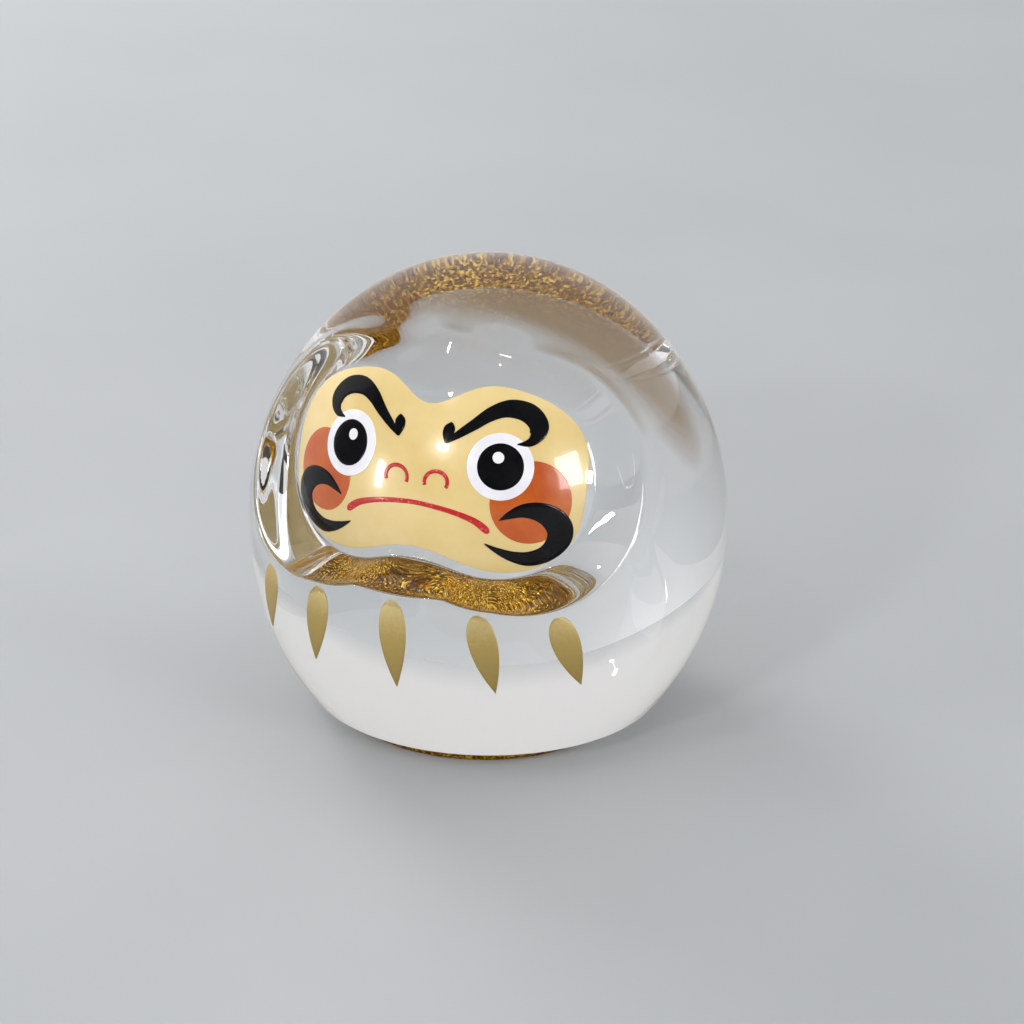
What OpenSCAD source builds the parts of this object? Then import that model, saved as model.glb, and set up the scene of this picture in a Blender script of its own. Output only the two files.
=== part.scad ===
// Daruma doll paperweight: a solid clear glass body with a hooded face recess, fired enamel
// on the face dome, gold brush strokes on the robe and a layer of gold flecks under the foot.
//
// Millimetres, +Z up. The origin is the centre of the resting face, and the doll looks along -Y.
// "left" and "right" are the doll's own sides, so its left eye is at +X.
// Directions on the face are an azimuth from -Y towards +X and an elevation, both seen from the
// centre of the face dome. Brush strokes are drawn in the front view as [x, z] points.

/* [Body] */
// Width and depth of the glass at the belly
body_w = 60; // [54:0.5:66]
// Height of the whole doll
body_h = 58; // [54:0.5:62]
// Height of the widest level above the table
belly_h = 24.4; // [22:0.1:27]
// How far the body's axis stands behind the foot's axis
set_back = 1.5; // [0:0.1:3]
// Height above which the glass follows its full curve
turn_h = 2.6; // [2.5:0.1:4]

/* [Foot] */
// Diameter of the ground foot
foot_d = 36; // [32:0.5:38]
// Height of the clear glass foot below the body's curve
foot_h = 1; // [0.6:0.1:1.2]
// Thickness of the gold fleck layer under the glass
fleck_t = 0.9; // [0.5:0.1:1.1]
// How far the gold fleck layer stops short of the edge of the foot
fleck_inset = 0.2; // [0:0.1:1]

/* [Face recess] */
// Radius of the face dome
dome_r = 24.9; // [24:0.1:25.5]
// Height of the face dome's centre
dome_h = 32; // [30:0.1:34]
// Azimuth of the two cheek lobes of the recess floor
lobe_az = 24; // [22:0.5:27]
// Elevation of the cheek lobes
lobe_el = 16; // [14:0.5:17]
// Angular radius of the cheek lobes
lobe_spread = 27.5; // [26:0.5:28.5]
// Elevation of the middle lobe
mid_el = 17.3; // [15:0.1:19]
// Angular radius of the middle lobe
mid_spread = 22; // [20.5:0.5:23.5]
// Azimuth of the two side lobes of the rim
rim_az = 31; // [29:0.5:33]
// Elevation of the side lobes of the rim
rim_el = 18.8; // [17:0.1:20]
// Angular radius of the side lobes of the rim
rim_spread = 32.2; // [31:0.1:34]
// Elevation of the middle lobe of the rim
rim_mid_el = 23.3; // [22:0.1:25]
// Angular radius of the middle lobe of the rim
rim_mid_spread = 33.6; // [32:0.1:35]
// Angle over which the lobes blend into one outline
lobe_blend = 3; // [2:0.1:4]
// How far the glass rolls out past its own curve at the rim
rim_roll = 0.2; // [0:0.05:0.4]
// Azimuth of the shallow dent at each upper corner of the recess
dent_az = 20; // [18:0.5:22]
// Elevation of the dents
dent_el = 50; // [48:0.5:52]
// Angular spread of the dents
dent_spread = 8; // [6:0.5:9]
// Depth of the dents
dent_depth = 1.3; // [0:0.1:1.5]

/* [Face enamel] */
// Thickness of each fired layer of enamel
enamel_t = 0.12; // [0.08:0.01:0.2]
// Half width of the cream ground in the front view
ground_w = 18.6; // [18:0.1:19]
// Height of the middle of the cream ground
ground_z = 38; // [37.5:0.1:38.5]
// Rise of the cream ground to its brow lobes
ground_up = 12; // [11.5:0.1:12.3]
// Drop of the cream ground to its jaw lobes
ground_down = 11.2; // [10.8:0.1:11.5]
// Depth of the dip between the brow lobes
brow_dip = 2.8; // [2:0.1:3.5]
// Depth of the dip between the jaw lobes
jaw_dip = 4; // [3:0.1:4.5]
// Place of each eye in the front view
eye_at = [9.65, 41.1]; // [9:0.05:43]
// Radius of the white of the eye
eye_r = 4; // [3.8:0.1:4.2]
// Radius of the pupil
pupil_r = 2.8; // [2.5:0.1:3]
// Place of the white dot, measured inwards and upwards from the eye
glint_off = [-0.4, 1]; // [-1:0.1:1.2]
// Radius of the white dot
glint_r = 0.72; // [0.5:0.01:0.9]
// Place of each cheek patch in the front view
cheek_at = [13.4, 36.8]; // [12:0.1:38]
// Radius of the cheek patch
cheek_r = 5; // [4.6:0.1:5.2]

/* [Robe strokes] */
// Thickness of the gold enamel
stroke_t = 0.12; // [0.08:0.01:0.2]
// Half width of a stroke at its widest
stroke_w = 1.75; // [1.4:0.05:2]
// Azimuth by which the row of strokes stands off the doll's middle
stroke_turn = -1; // [-3:0.5:3]
// Azimuth of the tops of the strokes, middle one first
stroke_top_az = [0, 19.6, 38]; // [0:0.2:42]
// Azimuth of their lower tips
stroke_tip_az = [0, 24.4, 45.6]; // [0:0.2:50]
// Height of their tops
stroke_top_z = [25.8, 24.9, 24.2]; // [23:0.1:26]
// Height of their lower tips
stroke_tip_z = [13.5, 13.8, 14]; // [12:0.1:16]

/* [Hidden] */
$fn = 96;
far = 45; // beyond the whole doll, for cutting tools

belly_r = body_w / 2;
foot_r = foot_d / 2;
foot_top = fleck_t + foot_h;
crown_c = body_h - belly_h; // vertical half axis of the body's curve
turn_r = belly_r * sqrt(1 - pow((belly_h - turn_h) / crown_c, 2));
turn_slope = pow(belly_r / crown_c, 2) * (belly_h - turn_h) / turn_r;

glass_tint = [0.86, 0.93, 0.95, 0.45];
gold_tint = [0.66, 0.58, 0.27];
fleck_tint = [0.74, 0.50, 0.12];
cream_tint = [0.90, 0.80, 0.55];
cheek_tint = [0.87, 0.46, 0.20];
white_tint = [0.86, 0.87, 0.90];
ink_tint = [0.05, 0.05, 0.06];
red_tint = [0.80, 0.10, 0.13];

// Brush strokes: [x, z, half width] along the middle of the stroke
brow_path = [
    [3.0, 43.4, 0.1], [4.1, 44.25, 0.4], [5.9, 45.5, 0.62], [7.5, 46.6, 0.78], [9.2, 47.1, 0.86],
    [11.1, 46.7, 0.86], [12.45, 45.7, 0.85], [12.95, 44.5, 0.9], [12.3, 43.6, 0.5], [11, 43.45, 0.06]
];
brow_hook_path = [[3.0, 43.4, 0.1], [3.05, 44.3, 0.62], [3.15, 45.0, 0.66], [3.2, 45.4, 0.36]];
whisker_path = [
    [10.1, 34.9, 0.06], [11.1, 35.45, 0.45], [12.5, 35.95, 0.82], [14.0, 35.8, 1.05],
    [15.45, 34.9, 1.2], [16.35, 33.3, 1.25], [16.2, 31.6, 1.25], [15.1, 30.3, 1.1],
    [13.4, 29.8, 0.98], [11.7, 30.2, 0.7], [10.1, 31, 0.4], [8.6, 31.95, 0.06]
];
mouth_half = [
    [0, 36.35, 0.28], [2.5, 36.15, 0.29], [5, 35.65, 0.31], [7.2, 34.85, 0.37],
    [8.45, 33.95, 0.42], [8.85, 33.5, 0.34], [9.0, 33.3, 0.1]
];
nostril_mid = [2.5, 39];
nostril_rx = 1.4;
nostril_rz = 1.25;

// ---------- Curves ----------

function ease(u) = u * u * (3 - 2 * u);

// Smooth curve through the points p, steps points to each span (Catmull-Rom)
function spline(p, steps) = [
    for (i = [0 : len(p) - 2], k = [0 : steps - 1])
        let (
            a = p[max(i - 1, 0)], b = p[i], c = p[i + 1], d = p[min(i + 2, len(p) - 1)],
            u = k / steps
        )
        b + 0.5 * u * ((c - a) + u * ((2 * a - 5 * b + 4 * c - d) + u * (3 * (b - c) + d - a))),
    p[len(p) - 1]
];

// Unit normal, to the left, at point i of the [x, z, half width] curve q
function side_dir(q, i) =
    let (
        a = q[max(i - 1, 0)], b = q[min(i + 1, len(q) - 1)],
        run = sqrt(pow(b[0] - a[0], 2) + pow(b[1] - a[1], 2))
    )
    [a[1] - b[1], b[0] - a[0]] / run;

// Outline of a brush stroke: down one side of the curve and back up the other
function stroke_outline(q) = concat(
    [for (i = [0 : len(q) - 1]) [q[i][0], q[i][1]] + q[i][2] * side_dir(q, i)],
    [for (i = [len(q) - 1 : -1 : 0]) [q[i][0], q[i][1]] - q[i][2] * side_dir(q, i)]
);

// Bean outline of the cream ground: a rounded oblong with a dip in its top and its bottom edge
function bean_z(c, s, x) = s >= 0
    ? ground_up * pow(s, 2 / 2.4) - brow_dip * exp(-pow(x / 4.5, 2)) * ease(s)
    : -ground_down * pow(-s, 2 / 3.4) + jaw_dip * exp(-pow(x / 8, 2)) * ease(-s);
function bean_x(c, s) = ground_w * sign(c) * pow(abs(c), s >= 0 ? 2 / 2.4 : 2 / 3.4);
function bean_outline(step) = [
    for (t = [0 : step : 360 - step])
        let (c = cos(t), s = sin(t), x = bean_x(c, s))
        [x, ground_z + bean_z(c, s, x)]
];

// Point on a Bezier curve with control points a, b, c, d
function bezier(a, b, c, d, u) =
    a * pow(1 - u, 3) + b * 3 * u * pow(1 - u, 2) + c * 3 * u * u * (1 - u) + d * pow(u, 3);

// Points [radius, height] down the body's curve. A grow above 0 gives the skin outside it.
function body_curve(from, to, step, grow) = [
    for (t = [from : step : to]) [(belly_r + grow) * sin(t), belly_h + (crown_c + grow) * cos(t)]
];

// Point of the plain body at an azimuth and a height
function body_point(az, z) =
    let (r = belly_r * sqrt(1 - pow((z - belly_h) / crown_c, 2)))
    [r * sin(az), set_back - r * cos(az), z];

// Tight turn from the body's curve in to the top of the foot
underside = [
    for (k = [0 : 5])
        bezier(
            [turn_r, turn_h], [turn_r - 0.3 * turn_slope, turn_h - 0.3],
            [foot_r + 2, foot_top + 0.3], [foot_r + 0.2, foot_top + 0.25], k / 5
        )
];

// Direction of an azimuth and an elevation, as a unit vector
function unit_dir(az, el) = [sin(az) * cos(el), -cos(az) * cos(el), sin(el)];

// Angle of the unit vector d outside one lobe of the recess, as a term of the blend below
function lobe_term(d, az, el, spread) = exp((spread - acos(min(1, d * unit_dir(az, el)))) / lobe_blend);

// Angle of d outside an outline of two side lobes and a middle lobe
function outline_gap(d, az, el, spread, middle_el, middle_spread) = -lobe_blend * ln(
    lobe_term(d, az, el, spread) + lobe_term(d, -az, el, spread) + lobe_term(d, 0, middle_el, middle_spread)
);

// Angle of d outside the recess floor, and outside the rim
function past_floor(d) = outline_gap(d, lobe_az, lobe_el, lobe_spread, mid_el, mid_spread);
function past_rim(d) = outline_gap(d, rim_az, rim_el, rim_spread, rim_mid_el, rim_mid_spread);

// Depth, at the direction d, of the dent at azimuth az
function dent(d, az) =
    dent_depth * exp(-pow(acos(min(1, d * unit_dir(az, dent_el))) / dent_spread, 2));

// Direction of the point p from the face dome's centre
function dome_dir(p) = (p - [0, set_back, dome_h]) / norm(p - [0, set_back, dome_h]);

// Moves the point p of the plain body onto the face dome, the recess wall or the dented, rolled rim
function press_face(p) =
    let (
        d = dome_dir(p),
        reach = norm(p - [0, set_back, dome_h]),
        up = past_floor(d) / max(1, past_floor(d) - past_rim(d)),
        rolled = reach + rim_roll * exp(-pow((past_rim(d) - 0.5) / 3, 2)),
        outer = rolled - dent(d, dent_az) - dent(d, -dent_az)
    )
    [0, set_back, dome_h] + d * (dome_r + (outer - dome_r) * ease(max(0, min(1, up))));

// Height, between low and high, at which the column at azimuth az crosses the floor's edge or the rim
function crossing(az, at_rim, low, high, turns) =
    let (z = (low + high) / 2, d = dome_dir(body_point(az, z)))
    turns == 0 ? z
    : (at_rim ? past_rim(d) : past_floor(d)) > 0 ? crossing(az, at_rim, z, high, turns - 1)
    : crossing(az, at_rim, low, z, turns - 1);

// Heights of the points of one column from chin_top down to chin_end. They follow the chin's two
// edges at the front and level out beside the face.
chin_top = 34.6;
chin_end = 22;
function chin_heights(az) =
    let (
        side = min(az, 360 - az),
        level = ease(max(0, min(1, (side - 48) / 14))),
        floor_z = crossing(az, false, 24, 33, 12) * (1 - level) + 28.5 * level,
        rim_z = crossing(az, true, 23, 33, 12) * (1 - level) + 26 * level
    )
    concat(
        [for (k = [0 : 3]) chin_top + (floor_z - chin_top) * k / 4],
        [for (k = [0 : 4]) floor_z + (rim_z - floor_z) * k / 5],
        [for (k = [0 : 4]) rim_z + (chin_end - rim_z) * pow(k / 4, 1.4)]
    );

// Azimuths of the body's columns of points, closer together at the face
columns = 88;
column_az = [for (j = [0 : columns - 1]) let (t = 360 * j / columns) t - 30 * sin(t)];

// Rings of points from the crown to the edge of the ground foot
function ring(p) = [
    for (az = column_az) press_face([p[0] * sin(az), set_back - p[0] * cos(az), p[1]])
];
function glass_rows() = let (chin = [for (az = column_az) chin_heights(az)]) concat(
    [for (p = body_curve(3.2, 71, 3.2, 0)) ring(p)],
    [for (k = [0 : len(chin[0]) - 1])
        [for (j = [0 : columns - 1]) press_face(body_point(column_az[j], chin[j][k]))]],
    [for (p = concat(body_curve(97.2, 121, 3.2, 0), underside)) ring(p)],
    [for (z = [foot_top, fleck_t]) [for (az = column_az) [foot_r * sin(az), -foot_r * cos(az), z]]]
);

// ---------- Shared solids ----------

// Puts +Z of the children along a direction from the face dome's centre
module face_dir(az, el) {
    translate([0, set_back, dome_h]) rotate([0, 0, az]) rotate([90 - el, 0, 0]) children();
}

// Direction on the dome of a point [x, z] of the front view
function az_of(p) = asin(p[0] / sqrt(pow(dome_r, 2) - pow(p[1] - dome_h, 2)));
function el_of(p) = asin((p[1] - dome_h) / dome_r);

// Mirrors a piece of the doll's left side to its right side
module to_right() {
    mirror([1, 0, 0]) children();
}

// Pushes a front view outline through the front half of the doll
module from_front() {
    translate([0, set_back, 0]) rotate([90, 0, 0]) linear_extrude(far) children();
}

// Layer of enamel on the face dome: level 0 lies on the glass, level 1 on the ground
module dome_layer(level) {
    translate([0, set_back, dome_h]) difference() {
        sphere(dome_r + (level + 1) * enamel_t);
        sphere(dome_r + level * enamel_t);
    }
}

// Round column of radius r that stands on the dome at the front view point p
module dome_column(p, r) {
    face_dir(az_of(p), el_of(p)) cylinder(r = r, h = far);
}

// ---------- Glass and gold flecks ----------

module glass_body() {
    rows = glass_rows();
    cols = len(column_az);
    last = len(rows) - 1;
    points = concat(
        [[0, set_back, body_h]],
        [for (row = rows, p = row) p],
        [[0, 0, fleck_t]]
    );
    top = [for (j = [0 : cols - 1]) [0, 1 + (j + 1) % cols, 1 + j]];
    wall = [for (i = [0 : last - 1], j = [0 : cols - 1], half = [0, 1])
        let (a = 1 + i * cols + j, b = 1 + i * cols + (j + 1) % cols)
        half == 0 ? [a, b, b + cols] : [a, b + cols, a + cols]];
    end = len(points) - 1;
    foot = [for (j = [0 : cols - 1]) [end, 1 + last * cols + j, 1 + last * cols + (j + 1) % cols]];
    color(glass_tint) polyhedron(points, concat(top, wall, foot));
}

module gold_fleck_base() {
    color(fleck_tint) cylinder(r = foot_r - fleck_inset, h = fleck_t);
}

// ---------- Face enamel ----------

module brow_shape() {
    polygon(stroke_outline(spline(brow_path, 5)));
    polygon(stroke_outline(spline(brow_hook_path, 5)));
}

module whisker_shape() {
    polygon(stroke_outline(spline(whisker_path, 5)));
}

module face_ground() {
    color(cream_tint) intersection() {
        dome_layer(0);
        from_front() polygon(bean_outline(4));
    }
}

module cheek() {
    color(cheek_tint) difference() {
        intersection() {
            dome_layer(1);
            dome_column(cheek_at, cheek_r);
        }
        dome_column(eye_at, eye_r);
        from_front() whisker_shape();
    }
}

module eye_white() {
    color(white_tint) difference() {
        intersection() {
            dome_layer(1);
            dome_column(eye_at, eye_r);
        }
        dome_column(eye_at, pupil_r);
        from_front() brow_shape();
    }
}

module pupil() {
    color(ink_tint) difference() {
        intersection() {
            dome_layer(1);
            dome_column(eye_at, pupil_r);
        }
        dome_column(eye_at + glint_off, glint_r);
    }
}

module pupil_glint() {
    color(white_tint) intersection() {
        dome_layer(1);
        dome_column(eye_at + glint_off, glint_r);
    }
}

module brow() {
    color(ink_tint) intersection() {
        dome_layer(1);
        from_front() brow_shape();
    }
}

module whisker() {
    color(ink_tint) intersection() {
        dome_layer(1);
        from_front() whisker_shape();
    }
}

module nostril() {
    arch = [for (t = [-25 : 15 : 200])
        [nostril_mid[0] + nostril_rx * cos(t), nostril_mid[1] + nostril_rz * sin(t), 0.22]];
    color(red_tint) intersection() {
        dome_layer(1);
        from_front() polygon(stroke_outline(arch));
    }
}

module mouth() {
    ends = len(mouth_half) - 1;
    full = concat(
        [for (i = [ends : -1 : 1]) [-mouth_half[i][0], mouth_half[i][1], mouth_half[i][2]]],
        mouth_half
    );
    color(red_tint) intersection() {
        dome_layer(1);
        from_front() polygon(stroke_outline(spline(full, 4)));
    }
}

// ---------- Robe strokes ----------

// Leaf of length len along -Z: widest a third of the way down, with a long fine tip
function leaf_half(v) = stroke_w * pow(v, 0.5) * (1 - v) / (pow(1 / 3, 0.5) * 2 / 3);
function leaf_outline(len) = concat(
    [for (k = [0 : 20]) let (v = pow(k / 20, 1.5)) [leaf_half(v), -len * v]],
    [for (k = [19 : -1 : 1]) let (v = pow(k / 20, 1.5)) [-leaf_half(v), -len * v]]
);

// Ring of enamel on the glass, as high as the strokes reach
module robe_band() {
    inner = concat(body_curve(82, 94, 1, 0), body_curve(97.2, 121, 3.2, 0));
    outer = concat(body_curve(82, 94, 1, stroke_t), body_curve(97.2, 121, 3.2, stroke_t));
    reversed = [for (i = [len(outer) - 1 : -1 : 0]) outer[i]];
    translate([0, set_back, 0]) rotate_extrude() polygon(concat(inner, reversed));
}

// place: 0 for the middle stroke, 1 or 2 for those beside it; side: 1 for the doll's left, -1 for its right
module robe_stroke(place, side) {
    az = stroke_turn + side * (stroke_top_az[place] + stroke_tip_az[place]) / 2;
    drift = side * belly_r * sin(stroke_tip_az[place] - stroke_top_az[place]);
    drop = stroke_top_z[place] - stroke_tip_z[place];
    color(gold_tint) intersection() {
        robe_band();
        translate([0, set_back, stroke_top_z[place]]) rotate([0, 0, az]) rotate([90, 0, 0])
            linear_extrude(far) translate([-drift / 2, 0]) rotate(atan(drift / drop))
            polygon(leaf_outline(norm([drift, drop])));
    }
}

glass_body();
gold_fleck_base();
face_ground();
cheek();  // cheek_left
to_right() cheek();  // cheek_right
eye_white();  // eye_white_left
to_right() eye_white();  // eye_white_right
pupil();  // pupil_left
to_right() pupil();  // pupil_right
pupil_glint();  // pupil_glint_left
to_right() pupil_glint();  // pupil_glint_right
brow();  // brow_left
to_right() brow();  // brow_right
whisker();  // whisker_left
to_right() whisker();  // whisker_right
nostril();  // nostril_left
to_right() nostril();  // nostril_right
mouth();
robe_stroke(2, -1);  // robe_stroke_1
robe_stroke(1, -1);  // robe_stroke_2
robe_stroke(0, 1);  // robe_stroke_3
robe_stroke(1, 1);  // robe_stroke_4
robe_stroke(2, 1);  // robe_stroke_5
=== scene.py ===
"""Looks of the clear glass daruma doll: glass, gold flecks, fired enamel and brush strokes."""

import math

import bmesh
import bpy
import numpy as np
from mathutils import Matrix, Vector


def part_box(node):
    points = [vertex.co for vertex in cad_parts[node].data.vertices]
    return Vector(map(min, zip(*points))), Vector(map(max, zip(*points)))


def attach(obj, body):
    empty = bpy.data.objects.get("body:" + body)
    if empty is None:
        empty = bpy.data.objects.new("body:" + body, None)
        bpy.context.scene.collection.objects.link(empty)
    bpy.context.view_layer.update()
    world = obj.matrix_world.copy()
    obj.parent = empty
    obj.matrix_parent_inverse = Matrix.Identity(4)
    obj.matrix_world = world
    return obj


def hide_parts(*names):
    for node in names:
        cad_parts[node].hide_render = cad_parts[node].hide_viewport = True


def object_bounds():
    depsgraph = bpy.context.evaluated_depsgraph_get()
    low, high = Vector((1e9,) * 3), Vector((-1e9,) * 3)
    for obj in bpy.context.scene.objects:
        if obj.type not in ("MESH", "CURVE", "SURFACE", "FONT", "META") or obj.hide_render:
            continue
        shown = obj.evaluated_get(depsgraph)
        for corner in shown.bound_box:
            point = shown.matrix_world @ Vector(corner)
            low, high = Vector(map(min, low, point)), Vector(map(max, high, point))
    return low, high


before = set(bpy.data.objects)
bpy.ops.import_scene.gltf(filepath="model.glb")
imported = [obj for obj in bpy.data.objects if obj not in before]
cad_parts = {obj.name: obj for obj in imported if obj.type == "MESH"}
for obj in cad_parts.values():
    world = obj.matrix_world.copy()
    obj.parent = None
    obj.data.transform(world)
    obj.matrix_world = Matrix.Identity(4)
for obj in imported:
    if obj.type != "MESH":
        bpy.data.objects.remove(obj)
cad_low, cad_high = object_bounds()

# ---------- Sizes, in the CAD's own millimetres ----------

MM = 0.001
foot_high = np.array(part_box("gold_fleck_base")[1]) / MM

FLECK_T = foot_high[2]  # thickness of the gold fleck layer
FLECK_R = foot_high[0]
FOOT_R = FLECK_R + 0.2  # glass foot ring, just wider than the flecks
FOOT_TOP = FLECK_T + 1.0
BODY_H = cad_high[2] / MM
BELLY_R = 30.0
BELLY_H = 24.4  # height of the widest part
CROWN_C = BODY_H - BELLY_H  # height of the crown over the widest part
SET_BACK = 1.5  # the body's axis stands this far behind the foot's
TURN_H = 2.6  # height where the wall turns in to the underside
DOME_R = 24.9  # face wall
DOME_H = 32.0
DOME_C = np.array([0, SET_BACK, DOME_H])
SINK = 0.03  # enamel and flecks are fused this far into the glass, so light passes straight in

# Lobes of the recess as (azimuth, elevation, angular radius) in degrees, seen from the dome's
# centre; the first of each pair stands on both sides
FLOOR_LOBES = ((24, 16, 27.5), (0, 17.3, 22))
RIM_LOBES = ((31, 18.8, 32.2), (0, 23.3, 33.6))
LOBE_BLEND = 3.0
RIM_ROLL = 0.2  # height of the roll on the rim
ROLL_AT = 0.5  # degrees outside the rim
ROLL_SPREAD = 3
CORNER_DENT = (20, 50, 8, 1.3)  # azimuth, elevation, angular spread and depth, on both sides

# Places on the face as (sideways, height) in the front view
EYE = (9.65, 41.1)
EYE_R = 4.0
PUPIL_R = 2.8
GLINT = (9.25, 42.1)
GLINT_R = 0.72
CHEEK = (13.4, 36.8)
CHEEK_R = 5.0
GROUND = (0, 38)

# Heights over the bare dome
ENAMEL = 0.12  # one fired layer
UNDER = ENAMEL - 0.02  # underside of paint that lies on the ground
CHEEK_TOP = ENAMEL + 0.04
WHITE_TOP = ENAMEL + 0.07
PUPIL_TOP = ENAMEL + 0.095
PAINT_TOP = 2 * ENAMEL
INK_TOP = PAINT_TOP - 0.01
HOOK_TOP = PAINT_TOP - 0.012  # just under the brow that it joins
RED_TOP = PAINT_TOP - 0.02

STROKE_LOW = 13  # painted light: the robe strokes grow lighter between these heights
STROKE_HIGH = 27

SIDES = {"left": 1, "right": -1}


# ---------- Helpers ----------


def new_object(name, verts, faces, material, body="root", nodes=()):
    """A smooth mesh object from verts in millimetres, carried by a body of the frame."""
    mesh = bpy.data.meshes.new(name)
    mesh.from_pydata((np.asarray(verts, float) * MM).tolist(), [], faces)
    mesh.validate()
    solid = bmesh.new()
    solid.from_mesh(mesh)
    bmesh.ops.recalc_face_normals(solid, faces=solid.faces)
    solid.to_mesh(mesh)
    solid.free()
    mesh.polygons.foreach_set("use_smooth", [True] * len(mesh.polygons))
    mesh.materials.append(material)
    obj = bpy.data.objects.new(name, mesh)
    bpy.context.scene.collection.objects.link(obj)
    if body:
        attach(obj, body)
    if nodes:
        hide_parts(*nodes)
    return obj


def grid_faces(rows, cols, closed=False):
    """Quads between rows of cols points each; closed joins the last column to the first."""
    faces = []
    for i in range(rows - 1):
        for j in range(cols if closed else cols - 1):
            k = (j + 1) % cols
            faces.append((i * cols + j, (i + 1) * cols + j, (i + 1) * cols + k, i * cols + k))
    return faces


def ease(u):
    """Smooth step from 0 to 1."""
    u = np.clip(u, 0, 1)
    return u * u * (3 - 2 * u)


def unit_dir(az, el):
    """Direction in degrees; azimuth 0 is in front of the doll and 90 on its left."""
    az, el = math.radians(az), math.radians(el)
    return np.array([math.sin(az) * math.cos(el), -math.cos(az) * math.cos(el), math.sin(el)])


def angle_from(d, az, el):
    """Angle in degrees between the directions d and one direction."""
    return np.degrees(np.arccos(np.clip(d @ unit_dir(az, el), -1, 1)))


def outline_gap(d, lobes):
    """Angle of the directions d outside an outline of two side lobes and a middle lobe."""
    (az, el, spread), (_, middle_el, middle_spread) = lobes
    total = 0
    for a, e, r in ((az, el, spread), (-az, el, spread), (0, middle_el, middle_spread)):
        total = total + np.exp((r - angle_from(d, a, e)) / LOBE_BLEND)
    return -LOBE_BLEND * np.log(total)


def press_face(p):
    """Moves points of the plain body onto the face dome, the recess wall or the rolled rim."""
    d = p - DOME_C
    reach = np.linalg.norm(d, axis=-1, keepdims=True)
    d = d / reach
    floor, rim = outline_gap(d, FLOOR_LOBES), outline_gap(d, RIM_LOBES)
    up = (floor / np.maximum(1, floor - rim))[..., None]
    rolled = reach + RIM_ROLL * np.exp(-(((rim - ROLL_AT) / ROLL_SPREAD) ** 2))[..., None]
    az, el, spread, depth = CORNER_DENT
    for side in (az, -az):
        rolled = rolled - depth * np.exp(-((angle_from(d, side, el) / spread) ** 2))[..., None]
    return DOME_C + d * (DOME_R + (rolled - DOME_R) * ease(up))


def spline(points, steps):
    """Smooth curve through points, steps to each span (Catmull-Rom)."""
    p = np.array(points, float)
    out = []
    for i in range(len(p) - 1):
        a, b, c, d = p[max(i - 1, 0)], p[i], p[i + 1], p[min(i + 2, len(p) - 1)]
        for u in np.arange(steps) / steps:
            bend = (2 * a - 5 * b + 4 * c - d) + u * (3 * (b - c) + d - a)
            out.append(b + 0.5 * u * ((c - a) + u * bend))
    out.append(p[-1])
    return np.array(out)


# ---------- Materials ----------


def material(name, **values):
    """A new node material and its Principled shader, with the given inputs set."""
    mat = bpy.data.materials.new(name)
    mat.use_nodes = True
    shader = mat.node_tree.nodes["Principled BSDF"]
    for key, value in values.items():
        shader.inputs[key.replace("_", " ")].default_value = value
    return mat, mat.node_tree, shader


def node(tree, kind, links=(), **values):
    """A node of that kind, with (input, socket) links and values for its properties or inputs."""
    made = tree.nodes.new(kind)
    for key, value in values.items():
        if hasattr(made, key):
            setattr(made, key, value)
        else:
            made.inputs[key.replace("_", " ")].default_value = value
    for key, socket in links:
        tree.links.new(socket, made.inputs[key])
    return made


def noise(tree, scale, detail=2.0, roughness=0.5):
    """Noise over the object's own coordinates."""
    place = node(tree, "ShaderNodeTexCoord")
    return node(tree, "ShaderNodeTexNoise", [("Vector", place.outputs["Object"])],
                Scale=scale, Detail=detail, Roughness=roughness)


def ramp(tree, socket, stops):
    """Colour ramp over the socket, from (place, colour) stops."""
    made = node(tree, "ShaderNodeValToRGB", [("Fac", socket)])
    elements = made.color_ramp.elements
    while len(elements) < len(stops):
        elements.new(0.5)
    for element, (place, colour) in zip(elements, stops):
        element.position = place
        element.color = (*colour, 1)
    return made


def glass_material():
    """Clear crystal with a very slight hand-polished wave."""
    mat, tree, shader = material("clear_glass", Roughness=0.0, IOR=1.5, Transmission_Weight=1.0)
    bump = node(tree, "ShaderNodeBump", [("Height", noise(tree, 60, 1.0).outputs["Fac"])],
                Strength=0.02, Distance=0.0002)
    tint = ramp(tree, noise(tree, 30).outputs["Fac"],
                [(0.3, (0.98, 0.99, 0.985)), (0.7, (0.995, 0.997, 1))])
    tree.links.new(tint.outputs["Color"], shader.inputs["Base Color"])
    tree.links.new(bump.outputs["Normal"], shader.inputs["Normal"])
    return mat


def enamel_material(name, colours, scale, roughness=0.26, grain=0.25, coat=0.85, shine=0.5):
    """Fired enamel: the colours mixed by noise, under a glossy skin that is slightly uneven."""
    mat, tree, shader = material(name, Roughness=roughness, Coat_Weight=coat, Coat_Roughness=0.055,
                                 Specular_IOR_Level=shine)
    cloud = noise(tree, scale, 4.0, 0.6)
    stops = [(0.3 + 0.4 * i / (len(colours) - 1), c) for i, c in enumerate(colours)]
    tint = ramp(tree, cloud.outputs["Fac"], stops)
    tree.links.new(tint.outputs["Color"], shader.inputs["Base Color"])
    skin = noise(tree, 900, 3.0)
    bump = node(tree, "ShaderNodeBump", [("Height", skin.outputs["Fac"])],
                Strength=grain, Distance=0.00005)
    tree.links.new(bump.outputs["Normal"], shader.inputs["Normal"])
    return mat


GRAIN_SCALE = 5200  # cells per metre of the gold flecks and of the red's glitter


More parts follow.
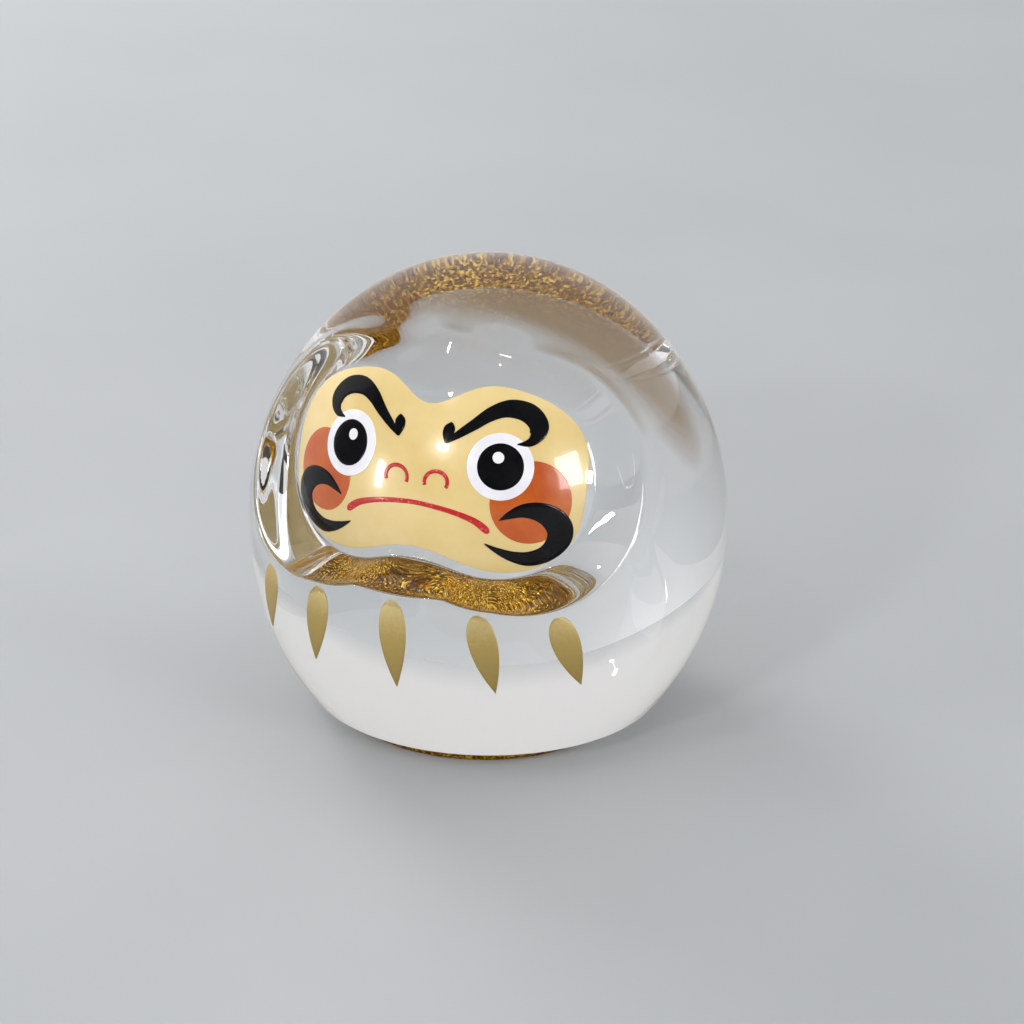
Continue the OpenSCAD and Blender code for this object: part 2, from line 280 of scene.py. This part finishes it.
def fleck_material():
    """Gold leaf flecks: small cells, each with its own colour and its own tilt."""
    mat, tree, shader = material("gold_flecks", Metallic=1.0, Roughness=0.27)
    place = node(tree, "ShaderNodeTexCoord")
    cells = node(tree, "ShaderNodeTexVoronoi", [("Vector", place.outputs["Object"])],
                 Scale=GRAIN_SCALE)
    shade = node(tree, "ShaderNodeSeparateColor", [("Color", cells.outputs["Color"])])
    tint = ramp(tree, shade.outputs["Red"],
                [(0.0, (0.11, 0.034, 0.001)), (0.5, (0.29, 0.113, 0.003)),
                 (0.96, (1.0, 0.63, 0.09))])
    tree.links.new(tint.outputs["Color"], shader.inputs["Base Color"])
    geometry = node(tree, "ShaderNodeNewGeometry")
    tilt = node(tree, "ShaderNodeVectorMath", [(0, cells.outputs["Color"])], operation="SUBTRACT")
    tilt.inputs[1].default_value = (0.5, 0.5, 0.5)
    amount = node(tree, "ShaderNodeVectorMath", [(0, tilt.outputs[0])], operation="SCALE",
                  Scale=0.6)
    turned = node(tree, "ShaderNodeVectorMath",
                  [(0, geometry.outputs["Normal"]), (1, amount.outputs[0])], operation="ADD")
    unit = node(tree, "ShaderNodeVectorMath", [(0, turned.outputs[0])], operation="NORMALIZE")
    tree.links.new(unit.outputs[0], shader.inputs["Normal"])
    return mat


def red_material():
    """Red enamel with fine bright grains in it."""
    mat, tree, shader = material("red_enamel", Roughness=0.3, Coat_Weight=0.4, Coat_Roughness=0.08)
    place = node(tree, "ShaderNodeTexCoord")
    cells = node(tree, "ShaderNodeTexVoronoi", [("Vector", place.outputs["Object"])],
                 Scale=GRAIN_SCALE)
    shade = node(tree, "ShaderNodeSeparateColor", [("Color", cells.outputs["Color"])])
    tint = ramp(tree, shade.outputs["Red"],
                [(0.0, (0.42, 0.005, 0.008)), (0.92, (0.58, 0.008, 0.012)),
                 (1.0, (0.78, 0.14, 0.12))])
    tree.links.new(tint.outputs["Color"], shader.inputs["Base Color"])
    return mat


def gold_material():
    """Gold enamel with fine metallic grain, and painted light that makes a stroke lighter towards
    its top.
    """
    mat, tree, shader = material("gold_enamel", Metallic=0.8, Roughness=0.42)
    grain = noise(tree, 2500, 3.0)
    place = node(tree, "ShaderNodeTexCoord")
    parts = node(tree, "ShaderNodeSeparateXYZ", [("Vector", place.outputs["Object"])])
    # Painted light: the gold grows lighter from STROKE_LOW up to STROKE_HIGH
    painted_top_light = node(tree, "ShaderNodeMapRange", [("Value", parts.outputs["Z"])],
                From_Min=STROKE_LOW * MM, From_Max=STROKE_HIGH * MM, To_Min=-0.1, To_Max=0.9)
    grain_and_top_light = node(tree, "ShaderNodeMath", [(0, grain.outputs["Fac"]), (2, painted_top_light.outputs["Result"])],
                   operation="MULTIPLY_ADD")
    grain_and_top_light.inputs[1].default_value = 0.2
    tint = ramp(tree, grain_and_top_light.outputs[0],
                [(0.0, (0.44, 0.31, 0.09)), (0.55, (0.60, 0.43, 0.145)), (1.0, (0.95, 0.77, 0.38))])
    tree.links.new(tint.outputs["Color"], shader.inputs["Base Color"])
    bump = node(tree, "ShaderNodeBump", [("Height", grain.outputs["Fac"])],
                Strength=0.08, Distance=0.00005)
    tree.links.new(bump.outputs["Normal"], shader.inputs["Normal"])
    return mat


glass_mat = glass_material()
fleck_mat = fleck_material()
cream_mat = enamel_material("cream_enamel", [(0.74, 0.54, 0.21), (0.81, 0.63, 0.29)], 130)
white_mat = enamel_material("white_enamel", [(0.80, 0.78, 0.84), (0.90, 0.89, 0.92)], 400)
ink_mat = enamel_material("black_enamel", [(0.003, 0.003, 0.004), (0.008, 0.008, 0.009)], 300,
                          roughness=0.12, grain=0.12, coat=0.0, shine=0.2)
orange_mat = enamel_material("orange_enamel", [(0.47, 0.068, 0.003), (0.55, 0.122, 0.012)], 260,
                             coat=0.55)
red_mat = red_material()
gold_mat = gold_material()


# ---------- Glass and gold flecks ----------


CHIN_HIGH = 34  # rows of points stand closest between these heights
CHIN_LOW = 22.5


def underside(count):
    """The tight turn from the body's curve in to the top of the foot, as [radius, height]."""
    turn_r = BELLY_R * math.sqrt(1 - ((BELLY_H - TURN_H) / CROWN_C) ** 2)
    slope = (BELLY_R / CROWN_C) ** 2 * (BELLY_H - TURN_H) / turn_r
    a, b = np.array([turn_r, TURN_H]), np.array([turn_r - 0.3 * slope, TURN_H - 0.3])
    c, d = np.array([FOOT_R + 2, FOOT_TOP + 0.3]), np.array([FOOT_R + 0.2, FOOT_TOP + 0.25])
    u = np.linspace(0, 1, count)[:, None]
    return a * (1 - u) ** 3 + b * 3 * u * (1 - u) ** 2 + c * 3 * u * u * (1 - u) + d * u**3


def body_heights():
    """Heights of the rows of points, close together where the chin's wall is steep."""
    crown = BELLY_H + CROWN_C * np.cos(np.radians(np.arange(0.5, 73, 0.5)))
    chin = np.arange(CHIN_HIGH - 0.1, CHIN_LOW, -0.08)
    robe = np.arange(CHIN_LOW - 0.1, TURN_H, -0.3)
    return np.concatenate([crown[crown > CHIN_HIGH], chin, robe])


def glass_body():
    """The solid glass from the crown down to the sole of its foot ring, as rows of points."""
    columns = 480
    az = np.linspace(-np.pi, np.pi, columns, endpoint=False)
    z = body_heights()
    r = BELLY_R * np.sqrt(1 - ((z - BELLY_H) / CROWN_C) ** 2)
    turn = underside(24)
    z, r = np.concatenate([z, turn[:, 1]]), np.concatenate([r, turn[:, 0]])
    skin = press_face(np.stack([r[:, None] * np.sin(az), SET_BACK - r[:, None] * np.cos(az),
                                z[:, None] + 0 * az], -1))
    foot_section = [(FOOT_R, FOOT_TOP), (FOOT_R, FOOT_TOP - 0.5), (FOOT_R, FLECK_T + 0.15),
                    (FOOT_R - 0.15, FLECK_T)]
    foot = np.array([np.stack([fr * np.sin(az), -fr * np.cos(az), fz + 0 * az], -1)
                     for fr, fz in foot_section])
    rows = np.concatenate([skin, foot])
    verts = np.concatenate([rows.reshape(-1, 3), [[0, SET_BACK, BODY_H], [0, 0, FLECK_T]]])
    faces = grid_faces(len(rows), columns, True)
    crown, sole, last = len(verts) - 2, len(verts) - 1, (len(rows) - 1) * columns
    for j in range(columns):
        k = (j + 1) % columns
        faces.append((crown, j, k))
        faces.append((sole, last + k, last + j))
    new_object("glass", verts, faces, glass_mat, nodes=["glass_body"])


def gold_fleck_base():
    """The fleck layer under the foot, with a worn edge, fused a little way into the glass."""
    columns = 128
    az = np.linspace(0, 2 * np.pi, columns, endpoint=False)
    top = FLECK_T + SINK
    section = [(0.01, top), (FLECK_R * 0.5, top), (FLECK_R - 0.4, top),
               (FLECK_R - 0.02, top - 0.06), (FLECK_R, top - 0.15), (FLECK_R, 0.2),
               (FLECK_R - 0.12, 0.04), (FLECK_R - 0.3, 0), (0.01, 0)]
    verts = np.array([[r * np.cos(a), r * np.sin(a), z] for r, z in section for a in az])
    faces = [f[::-1] for f in grid_faces(len(section), columns, True)]
    faces += [tuple(range(columns)), tuple(range((len(section) - 1) * columns, len(verts)))[::-1]]
    new_object("gold_flecks", verts, faces, fleck_mat,
               nodes=["gold_fleck_base"])


# ---------- Face enamel ----------


def on_dome(x, z, height):
    """Points over the front view places x, z, at a height above the glass dome."""
    y = -np.sqrt(np.maximum(DOME_R**2 - x**2 - (z - DOME_H) ** 2, 0))
    d = np.stack([x, y, z - DOME_H], -1) / DOME_R
    return DOME_C + d * (DOME_R + height)[..., None]


FILM_FADE = 0.35  # width of a film's rounded edge where the outline reaches furthest
# Section of that edge: (share of the way across it, share of the film's height)
FILM_EDGE = ((0.6, 0.99), (0.84, 0.93), (0.94, 0.78), (1.0, 0.5), (1.0, 0.0))


def patch(name, outline, centre, base, top, mat, replaced, rings=28):
    """A film over an outline: rings of points from its centre out, then down its edge."""
    outline, centre = np.array(outline), np.array(centre)
    count = len(outline)
    reach = np.linalg.norm(outline - centre, axis=1).max()
    fade = FILM_FADE / reach
    rows = [(u, top) for u in np.linspace(1 / rings, 1 - fade, rings)]
    for share, level in FILM_EDGE:
        rows.append((1 - fade + fade * share, base + (top - base) * level))
    points = []
    for u, height in rows:
        p = centre + (outline - centre) * u
        points.append(on_dome(p[:, 0], p[:, 1], np.full(count, height)))
    middle = on_dome(centre[:1], centre[1:], np.array([top]))
    verts = np.concatenate([*points, middle])
    faces = [f[::-1] for f in grid_faces(len(rows), count, True)]
    faces += [(len(verts) - 1, j, (j + 1) % count) for j in range(count)]
    last = (len(rows) - 1) * count
    faces.append(tuple(range(last, last + count))[::-1])
    new_object(name, verts, faces, mat, nodes=replaced)


# Section across a brush stroke: (share of its half width, share of its height)
STROKE_SECTION = ((-1.0, 0.0), (-1.0, 0.45), (-0.93, 0.8), (-0.8, 0.95), (-0.4, 1.0), (0.0, 1.0),
                  (0.4, 1.0), (0.8, 0.95), (0.93, 0.8), (1.0, 0.45), (1.0, 0.0))


def ribbon(name, curve, base, top, mat, replaced, side=1, mapping=on_dome):
    """A brush stroke along a curve of (x, z, half width): flat on top with soft edges."""
    p = np.array(curve)
    run = np.gradient(p[:, :2], axis=0)
    run /= np.linalg.norm(run, axis=1, keepdims=True)
    normal = np.stack([-run[:, 1], run[:, 0]], 1)
    count = len(p)
    rows = []
    for share, level in STROKE_SECTION:
        q = p[:, :2] + normal * p[:, 2:3] * share
        rows.append(mapping(q[:, 0] * side, q[:, 1], np.full(count, base + (top - base) * level)))
    verts = np.array(rows).reshape(-1, 3)
    faces = grid_faces(len(rows), count)
    faces.append(tuple(i * count for i in range(len(rows)))[::-1])
    faces.append(tuple(i * count + count - 1 for i in range(len(rows))))
    if side < 0:
        faces = [f[::-1] for f in faces]
    new_object(name, verts, faces, mat, nodes=replaced)


def circle(centre, radius, count=72):
    """Outline of a disc that stands square on the dome at a front view place."""
    x, z = centre
    axis = np.array([x, -math.sqrt(DOME_R**2 - x * x - (z - DOME_H) ** 2), z - DOME_H]) / DOME_R
    across = np.cross(axis, [0, 0, 1])
    across /= np.linalg.norm(across)
    upward = np.cross(across, axis)
    spread = math.asin(radius / DOME_R)
    t = np.linspace(0, 2 * np.pi, count, endpoint=False)
    turn = np.cos(t)[:, None] * across + np.sin(t)[:, None] * upward
    ring = axis * math.cos(spread) + math.sin(spread) * turn
    return np.stack([ring[:, 0] * DOME_R, ring[:, 2] * DOME_R + DOME_H], 1)


def on_side(outline, side):
    """The outline as drawn for the doll's left, or its mirror image for the right."""
    outline = np.array(outline) * [side, 1]
    return outline if side > 0 else outline[::-1]


def ground_outline():
    """Bean outline of the cream ground: a rounded oblong dipped in its top and bottom edge."""
    points = []
    for t in np.radians(np.arange(0, 360, 1.5)):
        c, s = math.cos(t), math.sin(t)
        power = 2 / 2.4 if s >= 0 else 2 / 3.4
        x = 18.6 * math.copysign(abs(c) ** power, c)
        if s >= 0:
            z = 12 * s**power - 2.8 * math.exp(-((x / 4.5) ** 2)) * ease(s)
        else:
            z = -11.2 * (-s) ** power + 4 * math.exp(-((x / 8) ** 2)) * ease(-s)
        points.append((x, GROUND[1] + z))
    return points


# Brush strokes on the doll's left as (sideways, height, half width)
BROW = [(3.0, 43.4, 0.1), (4.1, 44.25, 0.4), (5.9, 45.5, 0.62), (7.5, 46.6, 0.78),
        (9.2, 47.1, 0.86), (11.1, 46.7, 0.86), (12.45, 45.7, 0.85), (12.95, 44.5, 0.9),
        (12.3, 43.6, 0.5), (11, 43.45, 0.06)]
BROW_HOOK = [(3.0, 43.4, 0.1), (3.05, 44.3, 0.62), (3.15, 45.0, 0.66), (3.2, 45.4, 0.36),
             (3.2, 45.6, 0.05)]
WHISKER = [(10.1, 34.9, 0.06), (11.1, 35.45, 0.45), (12.5, 35.95, 0.82), (14.0, 35.8, 1.05),
           (15.45, 34.9, 1.2), (16.35, 33.3, 1.25), (16.2, 31.6, 1.25), (15.1, 30.3, 1.1),
           (13.4, 29.8, 0.98), (11.7, 30.2, 0.7), (10.1, 31, 0.4), (8.6, 31.95, 0.06)]
MOUTH_HALF = [(0, 36.35, 0.28), (2.5, 36.15, 0.29), (5, 35.65, 0.31), (7.2, 34.85, 0.37),
              (8.45, 33.95, 0.42), (8.85, 33.5, 0.34), (9.0, 33.3, 0.1)]


def face():
    """The cream ground, and the round spots and brush strokes painted over it."""
    patch("cream_ground", ground_outline(), GROUND, -SINK, ENAMEL, cream_mat,
          ["face_ground"], rings=60)
    # Each white dot sits above the pupil's centre and a little towards the nose
    spots = (("cheek", CHEEK, CHEEK_R, CHEEK_TOP, orange_mat, "orange_enamel", 72, 28),
             ("eye_white", EYE, EYE_R, WHITE_TOP, white_mat, "white_enamel", 72, 28),
             ("pupil", EYE, PUPIL_R, PUPIL_TOP, ink_mat, "black_enamel", 72, 28),
             ("pupil_glint", GLINT, GLINT_R, PAINT_TOP, white_mat, "white_enamel", 40, 8))
    arch = [(2.5 + 1.4 * math.cos(t), 39 + 1.25 * math.sin(t), 0.22)
            for t in np.radians(np.arange(-25, 201, 7.5))]
    strokes = (("brow", "paint", spline(BROW, 8), INK_TOP, ink_mat, "black_enamel"),
               ("brow", "hook", spline(BROW_HOOK, 8), HOOK_TOP, ink_mat, "black_enamel"),
               ("whisker", "paint", spline(WHISKER, 8), INK_TOP, ink_mat, "black_enamel"),
               ("nostril", "paint", arch, RED_TOP, red_mat, "red_enamel"))
    for name, side in SIDES.items():
        for piece, (x, z), radius, top, mat, slot, count, rings in spots:
            patch(f"{piece}_{name}_paint", on_side(circle((x, z), radius, count), side),
                  (x * side, z), UNDER, top, mat, [f"{piece}_{name}"], rings)
        for piece, part, curve, top, mat, slot in strokes:
            ribbon(f"{piece}_{name}_{part}", curve, UNDER, top, mat,
                   [f"{piece}_{name}"], side)
    full = [(-x, z, w) for x, z, w in MOUTH_HALF[:0:-1]] + MOUTH_HALF
    ribbon("mouth_paint", spline(full, 8), UNDER, RED_TOP, red_mat, ["mouth"])


# ---------- Robe strokes ----------

STROKE_W = 1.75  # greatest half width
# (azimuth of the top, azimuth of the tip, height of the top, height of the tip), from the
# doll's right side on
STROKES = [(-38, -45.6, 24.2, 14), (-19.6, -24.4, 24.9, 13.8), (0, 0, 25.8, 13.5),
           (19.6, 24.4, 24.9, 13.8), (38, 45.6, 24.2, 14)]
STROKE_TURN = -1.0  # the whole row is painted a degree to the doll's right


def robe_stroke(number, top_az, tip_az, top_z, tip_z):
    """A leaf of gold enamel on the body: widest a third of the way down, with a long fine tip."""
    middle = math.radians((top_az + tip_az) / 2 + STROKE_TURN)
    drift = BELLY_R * math.sin(math.radians(tip_az - top_az))

    def on_body(x, z, h):
        r = (BELLY_R + h) * np.sqrt(1 - ((z - BELLY_H) / (CROWN_C + h)) ** 2)
        turn = np.arcsin(x / r) + middle
        return np.stack([r * np.sin(turn), SET_BACK - r * np.cos(turn), z], -1)

    v = np.linspace(0.004, 0.995, 60)
    width = STROKE_W * np.sqrt(v) * (1 - v) / (math.sqrt(1 / 3) * 2 / 3)  # widest at a third
    curve = np.stack([drift * (v - 0.5), top_z + (tip_z - top_z) * v, width], 1)
    ribbon(f"robe_stroke_{number}_paint", curve, -SINK, ENAMEL, gold_mat,
           [f"robe_stroke_{number}"], 1, on_body)


glass_body()
gold_fleck_base()
face()
for number, places in enumerate(STROKES, 1):
    robe_stroke(number, *places)


# ---------- Stage ----------


def stage_plane(name, corners, mat):
    """A flat sheet of the studio, which is no part of the doll."""
    obj = new_object(name, corners, [(0, 1, 2, 3)], mat, body=None)
    return obj


def floor_material():
    mat, tree, shader = material("pale_floor", Roughness=0.75)
    tint = ramp(tree, noise(tree, 12, 3.0).outputs["Fac"],
                [(0.3, (0.38, 0.39, 0.40)), (0.7, (0.41, 0.42, 0.43))])
    tree.links.new(tint.outputs["Color"], shader.inputs["Base Color"])
    return mat


def square(half):
    """Corners of a level square about the origin."""
    return [(-half, -half, 0), (half, -half, 0), (half, half, 0), (-half, half, 0)]


stage_plane("floor", square(3000), floor_material())


def card_material():
    """White with a faint glow of its own, which is painted light, and as grey as the floor at its
    foot, so that the glass shows no hard edge there.
    """
    # Painted light: the card glows faintly, though it is no lamp
    mat, tree, shader = material("white_card", Roughness=0.9, Emission_Color=(1.0, 0.98, 0.97, 1),
                                 Emission_Strength=0.05)
    place = node(tree, "ShaderNodeTexCoord")
    parts = node(tree, "ShaderNodeSeparateXYZ", [("Vector", place.outputs["Object"])])
    rise = node(tree, "ShaderNodeMapRange", [("Value", parts.outputs["Z"])], From_Max=0.008)
    tint = ramp(tree, rise.outputs["Result"],
                [(0.0, (0.51, 0.515, 0.52)), (1.0, (0.67, 0.655, 0.645))])
    tree.links.new(tint.outputs["Color"], shader.inputs["Base Color"])
    return mat


# The white card stands upright behind the doll and square to the camera. The doll's lower half
# shows it upside down through the glass.
VIEW_AZ = math.radians(20.8)
behind = np.array([-math.sin(VIEW_AZ), math.cos(VIEW_AZ), 0]) * 125
along = np.array([math.cos(VIEW_AZ), math.sin(VIEW_AZ), 0]) * 900
tall = np.array([0, 0, 700])
card = stage_plane("white_card", [behind - along, behind + along, behind + along + tall,
                                  behind - along + tall], card_material())


def shade_material():
    """Painted shadow: tan in the middle of the card, fading to nothing at its edge."""
    mat, tree, shader = material("tan_shadow_card", Base_Color=(0.22, 0.16, 0.10, 1), Roughness=0.9)
    place = node(tree, "ShaderNodeTexCoord")
    ball = node(tree, "ShaderNodeTexGradient", [("Vector", place.outputs["Object"])],
                gradient_type="SPHERICAL")
    fade = node(tree, "ShaderNodeMapRange", [("Value", ball.outputs["Fac"])],
                From_Min=0.0, From_Max=0.5)
    clear = node(tree, "ShaderNodeBsdfTransparent")
    mix = node(tree, "ShaderNodeMixShader", [("Fac", fade.outputs["Result"])])
    tree.links.new(clear.outputs[0], mix.inputs[1])
    tree.links.new(shader.outputs[0], mix.inputs[2])
    tree.links.new(mix.outputs[0], tree.nodes["Material Output"].inputs["Surface"])
    return mat


# The tan card lies on the floor close behind the doll as a painted shadow of the doll, and tints
# the glass under the crown
shade = stage_plane("tan_shadow_card", square(1000), shade_material())
shade.location = (-0.020, 0.0345, 0.0003)
shade.scale = (0.015, 0.0085, 1)
for hidden in (card, shade):  # only the glass shows the cards
    hidden.visible_camera = False
    hidden.visible_diffuse = False
    hidden.visible_shadow = False

world = bpy.data.worlds.new("studio")
bpy.context.scene.world = world
world.use_nodes = True
sky = world.node_tree.nodes["Background"]
sky.inputs["Color"].default_value = (0.86, 0.89, 0.92, 1)


def room_light():
    """The room is bright behind the doll and darker in front of it."""
    tree = world.node_tree
    place = node(tree, "ShaderNodeTexCoord")
    parts = node(tree, "ShaderNodeSeparateXYZ", [("Vector", place.outputs["Generated"])])
    front = node(tree, "ShaderNodeMapRange", [("Value", parts.outputs["Y"])],
                 From_Min=-0.4, From_Max=0.6, To_Min=0.06, To_Max=0.72)
    tree.links.new(front.outputs["Result"], sky.inputs["Strength"])


room_light()


MIDDLE = np.array([0, 0, 0.03])  # of the doll, which every light faces


def direction(azimuth, elevation, distance):
    """Place at a distance in metres from the doll's middle, with angles as in unit_dir."""
    return Vector(unit_dir(azimuth, elevation) * distance + MIDDLE)


def softbox(name, place, width, height, power, mirrored=True):
    """A rectangular soft light, which the glass mirrors unless mirrored is False."""
    light = bpy.data.lights.new(name, "AREA")
    light.shape = "RECTANGLE"
    light.size = width
    light.size_y = height
    light.energy = power
    obj = bpy.data.objects.new(name, light)
    bpy.context.scene.collection.objects.link(obj)
    obj.location = place
    obj.rotation_euler = (Vector(MIDDLE) - place).to_track_quat("-Z", "Y").to_euler()
    obj.visible_camera = False
    obj.visible_glossy = mirrored


softbox("window", direction(68, 12, 0.8), 0.2, 0.24, 1.8)
softbox("lamp", direction(-8, 28, 0.8), 0.075, 0.04, 1.2)
softbox("left_window", direction(-126, 20, 0.8), 0.34, 0.4, 3.6)
softbox("doorway", direction(-42, 4, 0.8), 0.06, 0.18, 1.3)
softbox("back_window", direction(153, 3, 0.8), 0.12, 0.12, 0.8)
softbox("side_lamp", direction(80, 5, 0.8), 0.05, 0.09, 0.7)
softbox("ceiling_lamp", direction(-18.5, 56, 0.8), 0.045, 0.02, 0.3)
softbox("side_fill", direction(-45, 24, 0.8), 0.7, 0.45, 0.7, False)
softbox("overhead", direction(-20, 75, 1.0), 2.4, 2.4, 15, False)

camera_data = bpy.data.cameras.new("camera")
camera = bpy.data.objects.new("camera", camera_data)
bpy.context.scene.collection.objects.link(camera)
camera.location = (0.166585, -0.428597, 0.227871)
camera.rotation_euler = (1.1566, -0.0137, 0.3691)
camera_data.sensor_width = 36
camera_data.lens = 141.4
camera_data.clip_start = 0.01
bpy.context.scene.camera = camera
bpy.context.scene.view_settings.view_transform = "Standard"
cycles = bpy.context.scene.cycles
TURNS = 40  # light turns inside solid glass many times before it leaves
cycles.max_bounces = TURNS
cycles.transmission_bounces = TURNS
cycles.glossy_bounces = TURNS
